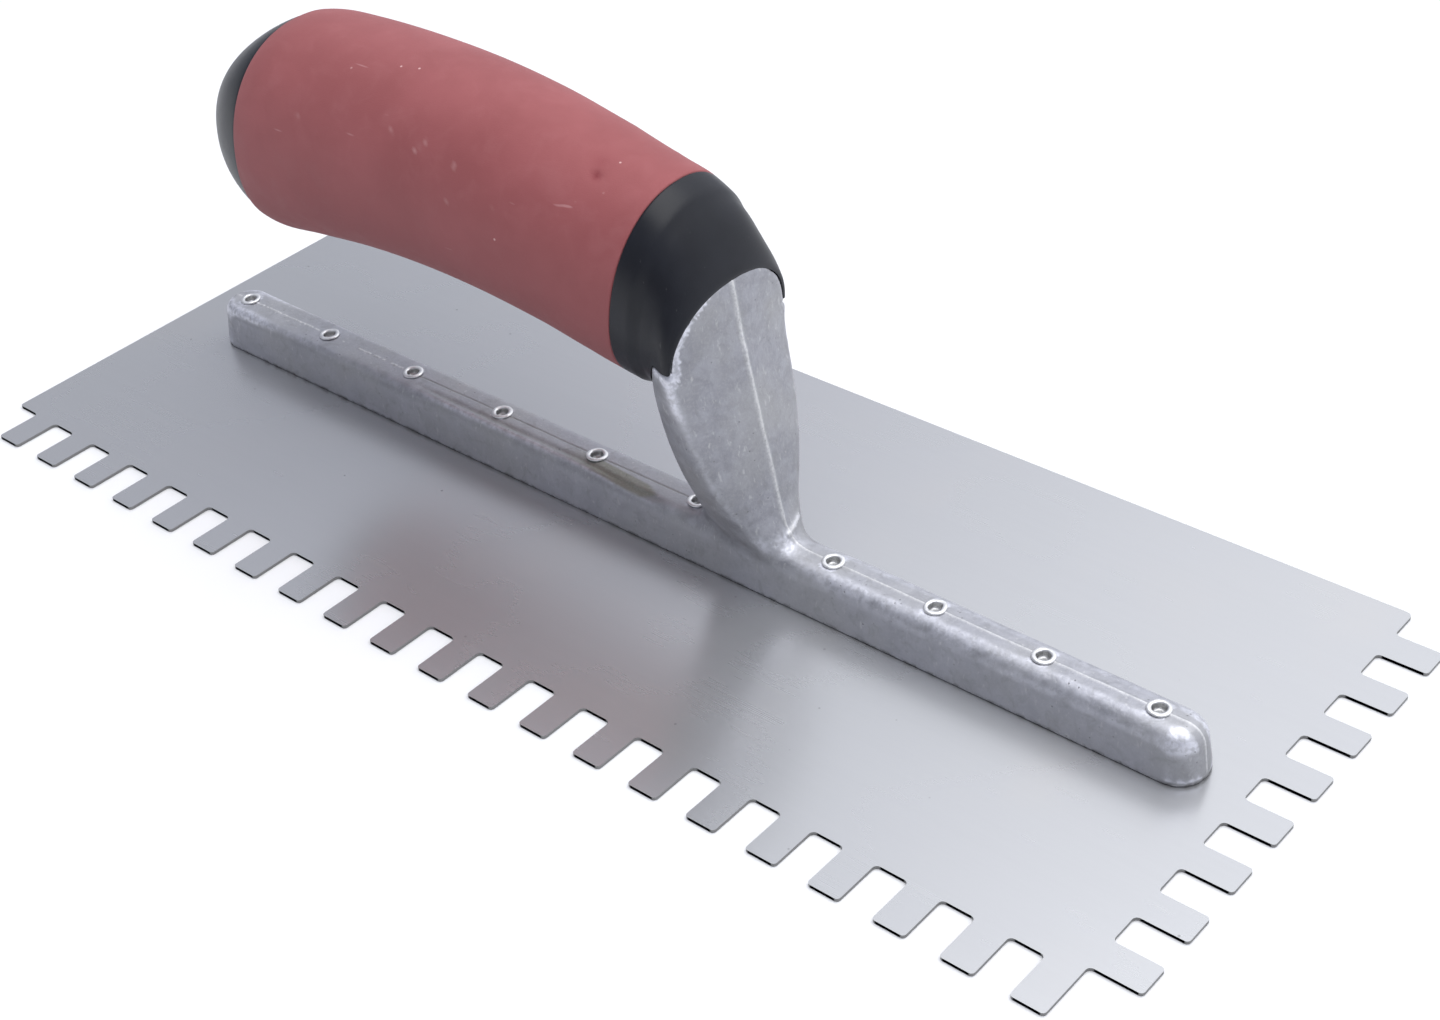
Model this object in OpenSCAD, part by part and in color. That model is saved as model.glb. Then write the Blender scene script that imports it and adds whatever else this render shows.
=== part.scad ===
// Notched trowel: a square-notch finishing trowel with a riveted cast mounting and a soft-grip handle.
// Millimetres. Origin at the centre of the blade's outline, on its underside.
// +X points to the toe, whose short edge is notched, +Y to the plain long edge, +Z up.

/* [Blade] */
// Length of the blade from heel to toe
blade_l = 276.8; // [275:0.1:300]
// Width of the blade
blade_w = 114.3; // [112:0.1:120]
// Thickness of the blade sheet
blade_t = 0.6; // [0.5:0.05:1]

/* [Notches] */
// Distance from one notch to the next
notch_pitch = 12.75; // [12:0.05:12.9]
// Width of a tooth on the long edge
tooth_w = 6.25; // [5.5:0.05:7]
// Width of a tooth on the toe
toe_tooth_w = 6.4; // [5.5:0.05:7]
// Depth of the notches in the long edge
notch_d = 9.7; // [8:0.05:11]
// Depth of the notches in the toe
toe_notch_d = 9.3; // [8:0.05:11]
// Teeth on the long edge
teeth = 21; // [12:1:21]
// Teeth on the toe
toe_teeth = 8; // [5:1:8]
// Length that is cut away at the heel, before the first tooth
heel_cut = 6.25; // [5:0.05:8]
// Width that is cut away at the toe's corner, before its first tooth
corner_cut = 11.8; // [11:0.05:12.5]
// Radius in the roots of the notches
root_r = 0.9; // [0.4:0.1:1.5]
// Radius on the tips of the teeth
tip_r = 0.7; // [0.3:0.1:1.2]

/* [Mounting] */
// Length of the beam along the blade
beam_l = 244.2; // [240:0.1:246]
// Width of the beam where it lies on the blade
beam_w = 11.2; // [10.8:0.1:13]
// Width of the beam at its top, before the edges are rounded
beam_top_w = 9.4; // [9:0.1:10]
// Radius on the beam's top edges at the heel
heel_edge_r = 1.4; // [1:0.1:1.8]
// Radius on the beam's top edges at the toe
toe_edge_r = 3.2; // [2.6:0.1:3.4]
// Height of the beam above the blade
beam_h = 10; // [9:0.1:12]
// Radius of the tapped hole's wall
tapped_r = 3.03; // [3.02:0.01:3.1]

/* [Rivets] */
// Rivets behind the arm
rear_rivets = 6; // [4:1:6]
// Distance between the rivets behind the arm
rear_rivet_pitch = 25.85; // [22:0.05:25.9]
// Place of the rearmost rivet along the blade
rear_rivet_x = -115.8; // [-117:0.1:-115.5]
// Rivets in front of the arm
front_rivets = 4; // [2:1:4]
// Distance between the rivets in front of the arm
front_rivet_pitch = 22.4; // [20:0.1:22.6]
// Place of the first rivet in front of the arm
front_rivet_x = 45.4; // [44:0.1:47]
// Radius of a rivet's shank
rivet_r = 1.6; // [1.4:0.05:1.8]
// Radius of the countersunk head, flush with the underside
rivet_head_r = 2.7; // [2.4:0.1:3]
// Radius of the rolled ring on top
rivet_ring_r = 2.1; // [2:0.05:2.3]
// Radius of the hollow in the top end
rivet_hollow_r = 1.15; // [1:0.05:1.3]
// Depth of the hollow
rivet_hollow_d = 3; // [2:0.5:4]

/* [Handle] */
// Thickness of the soft sleeve
sleeve_t = 3; // [2.5:0.1:3.2]
// How far the sleeve stands proud of the end cap
cap_step = 0.3; // [0:0.05:0.5]
// Height of the bolt's axis at the lip of the collar
bolt_z = 50; // [49.5:0.1:50.5]
// Downward slope of the bolt's axis towards the toe, in degrees
bolt_slope = 5.3; // [5:0.1:5.5]
// Radius of the bolt's shank
bolt_r = 3; // [2.9:0.05:3]
// Length of the bolt under its head
bolt_l = 92; // [88:0.5:92.5]
// Radius of the bolt's head
bolt_head_r = 5; // [4.5:0.1:5.2]
// Height of the bolt's head
bolt_head_h = 6; // [5:0.1:6.5]
// Width across the flats of the hexagon socket
socket_af = 5; // [4:0.5:5.5]
// Outer radius of the washer
washer_r = 6.5; // [6:0.1:7]
// Thickness of the washer
washer_t = 1.2; // [1:0.1:1.6]
// Radius of the casting's spigot and of the core's nose, inside the collar
spigot_r = 8; // [7.5:0.1:8.2]
// Length of the casting's spigot
spigot_l = 11.6; // [11.4:0.1:11.8]
// Radius of the pocket for the bolt's head, in the rear end of the core
pocket_r = 7.5; // [7.2:0.1:8]
// Length of the cap's plug in that pocket
plug_l = 7; // [6:0.1:7.6]

/* [Hidden] */
$fn = 48;

// Clearance all round between pieces that fit in each other
fit = 0.03;

// Stations along the handle's camel-back centre line:
// [place along the blade, height of the centre, half the height, half the width, lean of the section]
handle_stations = [
    [-112, 65.2, 19.3, 18.6, 0.13],
    [-104, 64.0, 19.4, 19.0, 0.13],
    [-95, 63.1, 20.3, 19.1, 0.13],
    [-83, 63.4, 22.4, 19.2, 0.13],
    [-67, 65.0, 21.8, 19.4, 0.14],
    [-52, 66.0, 21.0, 19.0, 0.15],
    [-37, 66.0, 20.6, 18.2, 0.16],
    [-22, 64.9, 20.1, 17.6, 0.17],
    [-7, 62.7, 19.6, 16.9, 0.18],
    [4, 60.4, 19.6, 16.1, 0.19],
    [11, 59.0, 19.6, 15.6, 0.2],
    [16, 57.4, 18.5, 15.6, 0.19],
    [20, 54.7, 16.8, 15.7, 0.17],
    [24, 49.4, 13.4, 15.7, 0.15],
    [28, 42.0, 9.0, 15.7, 0.14]
];
// Where the sleeve starts, where it ends, and where the collar's lip is
sleeve_x0 = -83;
sleeve_x1 = 11.5;
lip_x = 23.7;
// The rear end is a dome: where it starts, where it closes, and how full it is
dome_x = -75;
dome_end_x = -101;
dome_fullness = 2.25;
// The sections are superellipses, a little squarer than an ellipse
squareness = 2.2;
sides = 48;

// Stations up the casting's arm: [height, front ridge, side edge, half the width, back]
arm_stations = [
    [-4, 36.0, 33.5, 3.8, 18.2],
    [2, 37.5, 34.5, 4.4, 17.8],
    [8, 41.5, 36.0, 5.0, 17.0],
    [10.6, 37.8, 34.8, 5.6, 16.5],
    [13, 35.6, 33.8, 6.6, 15.6],
    [16, 34.1, 32.4, 7.9, 14.9],
    [19, 33.5, 31.4, 9.4, 14.6],
    [23, 32.8, 30.2, 11.2, 14.0],
    [27, 32.1, 29.2, 12.5, 13.4],
    [31, 31.3, 28.3, 13.5, 12.8],
    [35, 30.6, 27.3, 14.2, 12.4],
    [39, 29.9, 26.2, 14.8, 12.3],
    [43, 29.1, 25.1, 15.4, 12.6],
    [47, 28.4, 24.4, 15.8, 13.4],
    [51, 27.6, 24.2, 15.9, 14.4],
    [57, 26.7, 25.0, 15.9, 15.0],
    [64, 25.6, 25.5, 15.9, 15.0],
    [70, 24.6, 24.5, 15.9, 15.0]
];
// Height of the ledge at the arm's back, on which the collar sits
ledge_z = 50.4;
back_sides = 9;
// How far the collar's lip stands proud of the casting's face
lip_step = 0.85;

rear_rivet_places = [for (i = [0 : rear_rivets - 1]) rear_rivet_x + i * rear_rivet_pitch];
front_rivet_places = [for (i = [0 : front_rivets - 1]) front_rivet_x + i * front_rivet_pitch];
rivet_places = concat(rear_rivet_places, front_rivet_places);
beam_top_z = blade_t + beam_h;
rivet_proud = 0.5;
// How far the ring's inner edge is rolled over
rolled_edge = 0.3;

// Places along the bolt's axis, measured from the middle of the collar's lip, where its tip is
tapped_end_x = 1.5;
head_x = -bolt_l;
seat_x = head_x + washer_t;
// How far the core's nose is rooted in the core
nose_root = 4.4;
// Bores are cut at least this far past the piece
through = 60;

// ---------------------------------------------------------------- helpers

// Catmull-Rom blend between b and c, with their neighbours a and d
function blend4(a, b, c, d, t) =
    b + t / 2 * (c - a + t * (2 * a - 5 * b + 4 * c - d + t * (3 * (b - c) + d - a)));

// Index of the station that lies at or before x
function station_at(table, x, i = 1) =
    (i >= len(table) - 3 || table[i + 1][0] > x) ? i : station_at(table, x, i + 1);

// Column col of a station table, smoothly interpolated at x
function smooth(table, x, col) =
    let (i = station_at(table, x),
         t = (x - table[i][0]) / (table[i + 1][0] - table[i][0]))
    blend4(table[i - 1][col], table[i][col], table[i + 1][col], table[i + 2][col], t);

function signed_pow(v, p) = sign(v) * pow(abs(v), p);

function joined(lists) = [for (l = lists, v = l) v];

// Evenly spaced places from a to b
function places(a, b, steps) = [for (i = [0 : steps]) a + (b - a) * i / steps];

function unit(v) = v / norm(v);

// The arc that rounds the corner p between its neighbours a and b, with radius r
function corner_arc(a, p, b, r, steps) =
    let (u = unit(a - p),
         v = unit(b - p),
         half = acos(u * v) / 2,
         c = p + unit(u + v) * r / sin(half),
         from = p + u * r / tan(half) - c,
         to = p + v * r / tan(half) - c,
         turn = 180 - 2 * half)
    [for (s = places(0, 1, steps)) c + (sin((1 - s) * turn) * from + sin(s * turn) * to) / sin(turn)];

// An outline of [x, y, radius] corners as points, each corner rounded
function rounded(corners, steps = 4) =
    let (n = len(corners),
         p = [for (c = corners) [c[0], c[1]]])
    joined([for (i = [0 : n - 1])
        corners[i][2] == 0 ? [p[i]]
            : corner_arc(p[(i + n - 1) % n], p[i], p[(i + 1) % n], corners[i][2], steps)]);

// Triangles between ring number i and the next one, in a list of rings of n points
function band(i, n, inward = false) =
    [for (k = [0 : n - 1], half = [0, 1])
        let (a = i * n + k,
             b = i * n + (k + 1) % n,
             t = half == 0 ? [a, b + n, b] : [a, a + n, b + n])
        inward ? [t[2], t[1], t[0]] : t];

// Flat ring of triangles between outer points from a and inner points from b
function end_face(a, b, n, last) =
    [for (k = [0 : n - 1], half = [0, 1])
        let (q = (k + 1) % n,
             t = half == 0 ? [a + k, a + q, b + q] : [a + k, b + q, b + k])
        last ? [t[2], t[1], t[0]] : t];

// Solid skin over a list of rings, closed with a flat face at each end
module loft(rings) {
    n = len(rings[0]);
    m = len(rings);
    polyhedron(
        points = joined(rings),
        faces = concat(
            joined([for (i = [0 : m - 2]) band(i, n)]),
            [[for (k = [0 : n - 1]) k]],
            [[for (k = [n - 1 : -1 : 0]) (m - 1) * n + k]]),
        convexity = 6);
}

// Solid between an outer and an inner list of rings
module hollow_loft(outer, inner) {
    n = len(outer[0]);
    m = len(outer);
    polyhedron(
        points = concat(joined(outer), joined(inner)),
        faces = concat(
            joined([for (i = [0 : m - 2]) band(i, n)]),
            joined([for (i = [m : 2 * m - 2]) band(i, n, true)]),
            end_face(0, m * n, n, false),
            end_face((m - 1) * n, (2 * m - 1) * n, n, true)),
        convexity = 10);
}

// Children drawn along +X are laid on the bolt's axis
module on_bolt_axis() {
    translate([lip_x, 0, bolt_z]) rotate([0, bolt_slope, 0]) children();
}

// Round bar along X, from place a to place b
module bar(a, b, r) {
    translate([a, 0, 0]) rotate([0, 90, 0]) cylinder(h = b - a, r = r);
}

// ---------------------------------------------------------------- handle's shape

// Size of the dome's section at x, from 1 where it starts to 0 where it closes
function dome_size(x) =
    let (u = max(0, min(1, (dome_x - x) / (dome_x - dome_end_x))))
    pow(max(0, 1 - pow(u, dome_fullness)), 1 / dome_fullness);

// The section of the handle at x, inset from its surface
function handle_ring(x, inset = 0) =
    let (a = smooth(handle_stations, x, 2) * dome_size(x) - inset,
         b = smooth(handle_stations, x, 3) * dome_size(x) - inset,
         z0 = smooth(handle_stations, x, 1),
         lean = smooth(handle_stations, x, 4),
         p = 2 / squareness)
    [for (k = [0 : sides - 1])
        let (y = b * signed_pow(cos(k * 360 / sides), p),
             dz = a * signed_pow(sin(k * 360 / sides), p))
        [x + lean * dz, y, z0 + dz]];

// ---------------------------------------------------------------- casting's shape

// The collar's front plane: its place at height z
function lip_plane(z) =
    lip_x + smooth(handle_stations, lip_x, 4) * (z - smooth(handle_stations, lip_x, 1));

// Half the width of the face at height z: it follows the arm, then the round top of the lip
function face_half_width(z) =
    let (z0 = smooth(handle_stations, lip_x, 1),
         a = smooth(handle_stations, lip_x, 2) - lip_step,
         b = smooth(handle_stations, lip_x, 3) - lip_step,
         lift = min(1, max(0, (z - z0) / a)))
    min(smooth(arm_stations, z, 3), b * pow(1 - pow(lift, squareness), 1 / squareness));

// Level section of the arm at height z, from its front ridge to its rounded back
function arm_ring(z, grow = 0) =
    let (ridge = smooth(arm_stations, z, 1),
         edge = smooth(arm_stations, z, 2),
         w = smooth(arm_stations, z, 3) + grow,
         back = smooth(arm_stations, z, 4) - grow,
         side = [for (k = [0 : back_sides])
             let (t = k * 90 / back_sides)
             [edge - (edge - back) * pow(sin(t), 0.95), w * pow(cos(t), 0.85), z]])
    concat([[ridge, 0, z], [(ridge + edge) / 2 + 0.25, w / 2, z]],
           side,
           [for (k = [back_sides - 1 : -1 : 0]) [side[k][0], -side[k][1], z]],
           [[(ridge + edge) / 2 + 0.25, -w / 2, z]]);

// Level section of the face at height z, from its front ridge back to the lip's plane
function face_ring(z) =
    let (w = face_half_width(z),
         back = lip_plane(z),
         ridge = max(back + 0.3, smooth(arm_stations, z, 1)),
         edge = min(max(back + 0.3, smooth(arm_stations, z, 2)), ridge - 0.05),
         middle = (ridge + edge) / 2 + min(0.25, (ridge - edge) / 4))
    [[ridge, 0, z], [middle, w / 2, z], [edge, w, z], [back, w, z],
     [back, -w, z], [edge, -w, z], [middle, -w / 2, z]];

// ---------------------------------------------------------------- blade

// Corners of the blade's outline, anticlockwise from the heel
function blade_corners() =
    let (x0 = -blade_l / 2,
         x1 = blade_l / 2,
         y0 = -blade_w / 2,
         y1 = blade_w / 2)
    concat(
        [[x0, y0 + notch_d, tip_r]],
        joined([for (i = [0 : teeth - 1])
            let (a = x0 + heel_cut + i * notch_pitch,
                 b = a + tooth_w,
                 root = i == teeth - 1 ? y0 + corner_cut : y0 + notch_d)
            [[a, y0 + notch_d, root_r], [a, y0, tip_r], [b, y0, tip_r], [b, root, root_r]]]),
        joined([for (i = [0 : toe_teeth - 1])
            let (a = y0 + corner_cut + i * notch_pitch,
                 b = a + toe_tooth_w,
                 root = x1 - toe_notch_d,
                 tooth = [[x1, a, tip_r], [x1, b, tip_r], [root, b, root_r]])
            i == 0 ? tooth : concat([[root, a, root_r]], tooth)]),
        [[x1 - toe_notch_d, y1, 1.2], [x0, y1, 1.2]]);

module blade() {
    color([0.66, 0.67, 0.69])
        difference() {
            linear_extrude(blade_t) polygon(rounded(blade_corners()));
            for (x = rivet_places)
                translate([x, 0, 0])
                    rivet_hole();
        }
}

// ---------------------------------------------------------------- rivets

// The hole for one rivet through blade and beam, countersunk in the blade
module rivet_hole() {
    translate([0, 0, -1]) cylinder(h = 1, r = rivet_head_r + fit);
    cylinder(h = blade_t, r1 = rivet_head_r + fit, r2 = rivet_r + fit);
    cylinder(h = beam_top_z + 1, r = rivet_r + fit);
}

// A semi-tubular rivet: countersunk head, shank, and an end rolled over into a ring
module rivet(x) {
    ring_r = (rivet_ring_r - rivet_hollow_r) / 2;
    color([0.8, 0.81, 0.83])
        translate([x, 0, 0])
            difference() {
                union() {
                    cylinder(h = blade_t, r1 = rivet_head_r, r2 = rivet_r);
                    cylinder(h = beam_top_z, r = rivet_r);
                    translate([0, 0, beam_top_z])
                        rotate_extrude()
                            polygon([[0, 0], [rivet_ring_r, 0],
                                     [rivet_ring_r, rivet_proud * 0.4],
                                     [rivet_ring_r - ring_r * 0.5, rivet_proud],
                                     [0, rivet_proud]]);
                }
                translate([0, 0, beam_top_z + rivet_proud - rivet_hollow_d])
                    cylinder(h = rivet_hollow_d + 1, r = rivet_hollow_r);
                translate([0, 0, beam_top_z + rivet_proud - rolled_edge])
                    cylinder(h = rolled_edge + 0.01,
                             r1 = rivet_hollow_r,
                             r2 = rivet_hollow_r + rolled_edge);
            }
}

// ---------------------------------------------------------------- mounting

// How far a rounded top edge of radius r has drawn in at height z
function rounding(z, r) =
    let (d = max(0, z - (beam_h - r)))
    r - sqrt(max(0, r * r - d * d));

// Level outline of the beam at height z, from its heel to its toe
function beam_ring(z) =
    let (half_w = beam_w / 2 - (beam_w - beam_top_w) / 2 * z / beam_h,
         heel_w = half_w - rounding(z, heel_edge_r),
         toe_w = half_w - rounding(z, toe_edge_r),
         heel_x = -beam_l / 2 + 0.8 * z / beam_h + rounding(z, heel_edge_r),
         toe_x = beam_l / 2 - 1.2 * z / beam_h - rounding(z, toe_edge_r),
         heel_r = min(4.4, heel_w - 0.3),
         toe_r = min(5.2, toe_w - 0.2))
    [for (p = rounded([[heel_x, -heel_w, heel_r], [toe_x, -toe_w, toe_r],
                       [toe_x, toe_w, toe_r], [heel_x, heel_w, heel_r]], 8))
        [p[0], p[1], z]];

// Bar on the blade: drafted sides, round ends, and top edges rounder towards the toe
module beam() {
    levels = [0, 0.66, 0.7, 0.74, 0.78, 0.82, 0.86, 0.89, 0.92, 0.945, 0.965, 0.982, 0.994, 1];
    translate([0, 0, blade_t])
        loft([for (level = levels) beam_ring(level * beam_h)]);
}

// Arm that rises from the beam, up to the ledge behind the collar's lip
module arm() {
    loft([for (z = [2, 5, 8, 9.5, 10.6, 11.8, 13, 14.5, 16, 19, 23, 27, 31, 35, 39, 43, 47, ledge_z])
        arm_ring(z)]);
}

// Face that covers the front of the collar, up to the round top of its lip
module face() {
    loft([for (z = [44, 47, 50, 52, 54, 56, 58, 59.5, 60.7, 61.5, 62.1, 62.45]) face_ring(z)]);
}

module mounting() {
    color([0.62, 0.63, 0.65])
        difference() {
            union() {
                beam();
                arm();
                face();
                on_bolt_axis() bar(-spigot_l, 0.5, spigot_r);
            }
            for (x = rivet_places)
                translate([x, 0, 0])
                    rivet_hole();
            on_bolt_axis() bar(-spigot_l - 1, tapped_end_x, tapped_r);
        }
}

// ---------------------------------------------------------------- handle

// Soft red sleeve over the core
module grip_sleeve() {
    xs = places(sleeve_x0, sleeve_x1, 22);
    color([0.62, 0.33, 0.35])
        hollow_loft([for (x = xs) handle_ring(x)],
                    [for (x = xs) handle_ring(x, sleeve_t)]);
}

// Hard core under the sleeve, with a nose that fills the back of the collar
module handle_core() {
    xs = places(sleeve_x0, sleeve_x1, 22);
    color([0.16, 0.17, 0.18])
        difference() {
            union() {
                loft([for (x = xs) handle_ring(x, sleeve_t + fit)]);
                on_bolt_axis() bar(-spigot_l - nose_root, -spigot_l, spigot_r);
            }
            on_bolt_axis() bar(seat_x - through, seat_x, pocket_r);
            on_bolt_axis() bar(seat_x - 1, 0, bolt_r + 0.2);
        }
}

// Hard collar between the sleeve and the casting, cut away below for the arm
module front_collar() {
    xs = concat(places(sleeve_x1, 18, 5), places(19, lip_x, 6));
    color([0.17, 0.18, 0.19])
        difference() {
            loft([for (x = xs) handle_ring(x)]);
            loft([for (z = [30, 33, 36, 39, 43, 47, ledge_z + fit]) arm_ring(z, fit)]);
            on_bolt_axis() bar(-through, through, spigot_r + fit);
        }
}

// Domed cap over the bolt's head, with a plug that presses into the core's pocket
module end_cap() {
    xs = concat([sleeve_x0], [for (s = [1 : 11])
        sleeve_x0 + (dome_end_x - sleeve_x0) * sin(s * 90 / 11.35)]);
    color([0.17, 0.18, 0.19])
        union() {
            loft([for (i = [len(xs) - 1 : -1 : 0])
                handle_ring(xs[i], cap_step * dome_size(xs[i]))]);
            on_bolt_axis() bar(sleeve_x0 - lip_x - 8, sleeve_x0 - lip_x + plug_l, pocket_r - fit);
        }
}

// ---------------------------------------------------------------- bolt

module handle_bolt() {
    color([0.55, 0.56, 0.58])
        on_bolt_axis()
            difference() {
                union() {
                    bar(head_x, 0, bolt_r);
                    bar(head_x - bolt_head_h, head_x, bolt_head_r);
                }
                translate([head_x - bolt_head_h - 1, 0, 0])
                    rotate([0, 90, 0])
                        cylinder(h = 4, r = socket_af / sqrt(3), $fn = 6);
            }
}

module bolt_washer() {
    color([0.7, 0.71, 0.73])
        on_bolt_axis()
            difference() {
                bar(head_x, seat_x, washer_r);
                bar(head_x - 1, seat_x + 1, bolt_r + 0.2);
            }
}

blade();
mounting();
rivet(rivet_places[0]);  // rivet_01
rivet(rivet_places[1]);  // rivet_02
rivet(rivet_places[2]);  // rivet_03
rivet(rivet_places[3]);  // rivet_04
rivet(rivet_places[4]);  // rivet_05
rivet(rivet_places[5]);  // rivet_06
rivet(rivet_places[6]);  // rivet_07
rivet(rivet_places[7]);  // rivet_08
rivet(rivet_places[8]);  // rivet_09
rivet(rivet_places[9]);  // rivet_10
handle_core();
front_collar();
grip_sleeve();
end_cap();
handle_bolt();
bolt_washer();
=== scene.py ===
"""Looks of the notched trowel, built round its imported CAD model.

Blender's units are metres. The frame is the CAD's: the origin is the centre of the blade's outline
on its underside, +X points to the notched toe, +Y to the plain long edge and +Z up.
Shapes are worked out in millimetres, as in the CAD, and scaled once, when a mesh is made.
"""

import math
import random
from contextlib import contextmanager

import bmesh
import bpy
import numpy as np
from mathutils import Matrix, Vector, noise


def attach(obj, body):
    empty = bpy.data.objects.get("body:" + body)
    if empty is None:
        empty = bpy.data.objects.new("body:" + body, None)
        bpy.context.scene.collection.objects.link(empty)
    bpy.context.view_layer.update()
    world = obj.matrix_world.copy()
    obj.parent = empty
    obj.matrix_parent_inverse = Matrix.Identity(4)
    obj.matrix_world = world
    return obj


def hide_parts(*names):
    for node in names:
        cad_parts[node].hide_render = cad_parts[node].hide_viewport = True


# One millimetre, in metres
MM = 0.001

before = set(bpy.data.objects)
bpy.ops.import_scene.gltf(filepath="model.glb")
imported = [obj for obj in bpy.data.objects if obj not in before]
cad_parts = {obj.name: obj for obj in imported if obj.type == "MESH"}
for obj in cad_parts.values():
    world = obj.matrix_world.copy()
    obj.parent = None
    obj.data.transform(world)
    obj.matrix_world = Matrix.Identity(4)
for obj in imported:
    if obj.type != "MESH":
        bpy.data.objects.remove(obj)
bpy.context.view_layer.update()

# ---------------------------------------------------------------- the handle's shape, as in the CAD

# Stations along the handle's camel-back centre line, in mm:
# place along the blade, height of the centre, half the height, half the width, lean of the section
HANDLE = np.array([
    (-112, 65.2, 19.3, 18.6, 0.13),
    (-104, 64.0, 19.4, 19.0, 0.13),
    (-95, 63.1, 20.3, 19.1, 0.13),
    (-83, 63.4, 22.4, 19.2, 0.13),
    (-67, 65.0, 21.8, 19.4, 0.14),
    (-52, 66.0, 21.0, 19.0, 0.15),
    (-37, 66.0, 20.6, 18.2, 0.16),
    (-22, 64.9, 20.1, 17.6, 0.17),
    (-7, 62.7, 19.6, 16.9, 0.18),
    (4, 60.4, 19.6, 16.1, 0.19),
    (11, 59.0, 19.6, 15.6, 0.20),
    (16, 57.4, 18.5, 15.6, 0.19),
    (20, 54.7, 16.8, 15.7, 0.17),
    (24, 49.4, 13.4, 15.7, 0.15),
    (28, 42.0, 9.0, 15.7, 0.14),
])
# Stations up the casting's arm, in mm: height, front ridge, side edge, half the width, back
ARM = np.array([
    (-4, 36.0, 33.5, 3.8, 18.2),
    (2, 37.5, 34.5, 4.4, 17.8),
    (8, 41.5, 36.0, 5.0, 17.0),
    (10.6, 37.8, 34.8, 5.6, 16.5),
    (13, 35.6, 33.8, 6.6, 15.6),
    (16, 34.1, 32.4, 7.9, 14.9),
    (19, 33.5, 31.4, 9.4, 14.6),
    (23, 32.8, 30.2, 11.2, 14.0),
    (27, 32.1, 29.2, 12.5, 13.4),
    (31, 31.3, 28.3, 13.5, 12.8),
    (35, 30.6, 27.3, 14.2, 12.4),
    (39, 29.9, 26.2, 14.8, 12.3),
    (43, 29.1, 25.1, 15.4, 12.6),
    (47, 28.4, 24.4, 15.8, 13.4),
    (51, 27.6, 24.2, 15.9, 14.4),
    (57, 26.7, 25.0, 15.9, 15.0),
    (64, 25.6, 25.5, 15.9, 15.0),
])
# The sleeve's ends and the collar's lip
SLEEVE_X0 = -83
SLEEVE_X1 = 11.5
LIP_X = 23.7
# The rear dome's start and end, and the power of its outline
DOME_X = -75
DOME_END_X = -101
DOME_FULLNESS = 2.25
# The power of the handle's section
SQUARENESS = 2.2
# The sleeve's thickness, how far the cap lies within its surface, the height of the casting's ledge
# under the collar, and how far the casting's face lies within the lip
SLEEVE_T = 3.0
CAP_STEP = 0.3
LEDGE_Z = 50.4
LIP_STEP = 0.85
RIVETS_X = [-115.8 + 25.85 * i for i in range(6)] + [45.4 + 22.4 * i for i in range(4)]

# Rings round the handle have this many points
SIDES = 176


def smooth_row(table, x):
    """The row of a station table at x, Catmull-Rom between the rows on both sides."""
    i = int(np.clip(np.searchsorted(table[:, 0], x, side="right") - 1, 1, len(table) - 3))
    a, b, c, d = table[i - 1:i + 3]
    t = (x - b[0]) / (c[0] - b[0])
    return b + t / 2 * (c - a + t * (2 * a - 5 * b + 4 * c - d + t * (3 * (b - c) + d - a)))


def dome_size(x):
    """Size of the rear dome's section at x, from 1 where the dome starts to 0 where it closes."""
    u = min(1.0, max(0.0, (DOME_X - x) / (DOME_X - DOME_END_X)))
    return max(0.0, 1 - u ** DOME_FULLNESS) ** (1 / DOME_FULLNESS)


def handle_ring(x, inset=0.0):
    """The superellipse section of the handle at x, inset from its surface."""
    row = smooth_row(HANDLE, x)
    size = dome_size(x)
    a = row[2] * size - inset
    b = row[3] * size - inset
    angle = np.arange(SIDES) * 2 * math.pi / SIDES
    power = 2 / SQUARENESS
    y = b * np.sign(np.cos(angle)) * np.abs(np.cos(angle)) ** power
    dz = a * np.sign(np.sin(angle)) * np.abs(np.sin(angle)) ** power
    return np.stack([x + row[4] * dz, y, row[1] + dz], 1)


def arm_ring(z, grow, steps=24):
    """The level section of the casting's arm at height z, grown all round."""
    _, ridge, edge, w, back = smooth_row(ARM, z)
    w += grow
    back -= grow
    side = []
    for k in range(steps + 1):
        t = k * math.pi / 2 / steps
        x = edge - (edge - back) * math.sin(t) ** 0.95
        side.append((x, w * max(0.0, math.cos(t)) ** 0.85, z))
    far = [(x, -y, z) for x, y, _ in reversed(side[:-1])]
    middle = (ridge + edge) / 2 + 0.25
    return np.array([(ridge, 0, z), (middle, w / 2, z)] + side + far + [(middle, -w / 2, z)])


# ---------------------------------------------------------------- mesh helpers

@contextmanager
def editing(mesh):
    """Opens a mesh for bmesh operations and writes it back."""
    bm = bmesh.new()
    bm.from_mesh(mesh)
    yield bm
    bm.to_mesh(mesh)
    bm.free()


def add_object(name, mesh):
    obj = bpy.data.objects.new(name, mesh)
    bpy.context.scene.collection.objects.link(obj)
    return obj


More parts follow.
